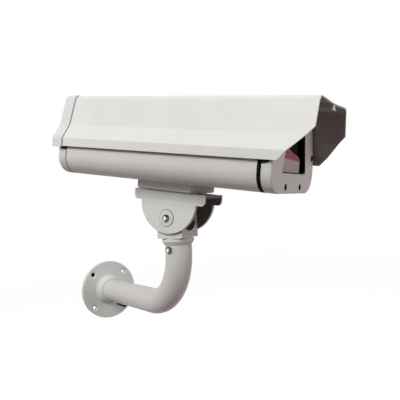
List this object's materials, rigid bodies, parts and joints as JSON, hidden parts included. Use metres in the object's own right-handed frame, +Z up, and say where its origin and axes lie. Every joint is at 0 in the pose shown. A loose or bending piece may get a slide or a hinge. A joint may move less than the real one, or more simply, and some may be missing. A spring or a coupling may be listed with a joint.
{
  "type": "security camera housing",
  "caption": "Long camera housing with a folded sunshield, sealed end caps and a window, on a pan and tilt bracket and a curved pipe arm with a round wall flange.",
  "frame": {"origin": "centre of the wall flange's back face, where it lies on the wall", "axes": "+Z up, +Y into the wall, +X to the right when facing the wall; the arm comes out along -Y. The head is set panned 24 degrees to the right of straight out and tilted 9.2 degrees nose down"},
  "size_m": [0.288, 0.4838, 0.3691],
  "materials": {
    "sunshield_paint": "satin powder coat, off-white",
    "end_cap_moulding": "satin moulding, off-white",
    "housing_paint": "satin powder coat, light warm grey",
    "cap_paint": "satin powder coat, light grey",
    "bracket_paint": "satin powder coat, light grey",
    "pipe_paint": "satin powder coat, light grey",
    "seal_rubber": "matt black rubber",
    "window_pane": "clear polished pane",
    "frame_black": "matt black paint",
    "screw_steel": "bright stainless steel",
    "washer_nylon": "natural nylon",
    "plug_plastic": "matt black moulding",
    "tray_metal": "mill finish sheet"
  },
  "bodies": {
    "base": {"wall_flange": "bracket_paint", "arm_pipe": "pipe_paint", "swivel_set_screws": "screw_steel"},
    "swivel": {"swivel_yoke": "bracket_paint"},
    "head": {"tilt_table": "bracket_paint", "tilt_bolt": "screw_steel", "tilt_washer": "screw_steel", "tilt_nut": "screw_steel", "foot_plate": "bracket_paint", "table_screws": "screw_steel", "foot_screws": "screw_steel", "body_shell": "housing_paint", "front_gasket": "seal_rubber", "rear_gasket": "seal_rubber", "front_cap": "cap_paint", "window_seal": "seal_rubber", "window_glass": "window_pane", "window_retainer": "frame_black", "retainer_screws": "screw_steel", "rear_cap": "cap_paint", "front_cap_screws": "screw_steel", "rear_cap_screws": "screw_steel", "plug_seals": "seal_rubber", "cable_plugs": "plug_plastic", "sunshield": "sunshield_paint", "sunshield_end": "end_cap_moulding", "sunshield_end_screw": "screw_steel", "sunshield_washers": "washer_nylon", "sunshield_screws": "screw_steel", "camera_tray": "tray_metal", "tray_screws": "screw_steel", "camera_screw": "screw_steel"}
  },
  "joints": [
    {"name": "pan", "type": "hinge", "parent": "base", "child": "swivel", "pos_m": [0, -0.249, 0], "axis": [0, 0, 1], "range_deg": [-114, 66]},
    {"name": "tilt", "type": "hinge", "parent": "swivel", "child": "head", "pos_m": [0, -0.249, 0.1286], "axis": [0.9135, 0.4067, 0], "range_deg": [-39.2, 35.8]}
  ]
}
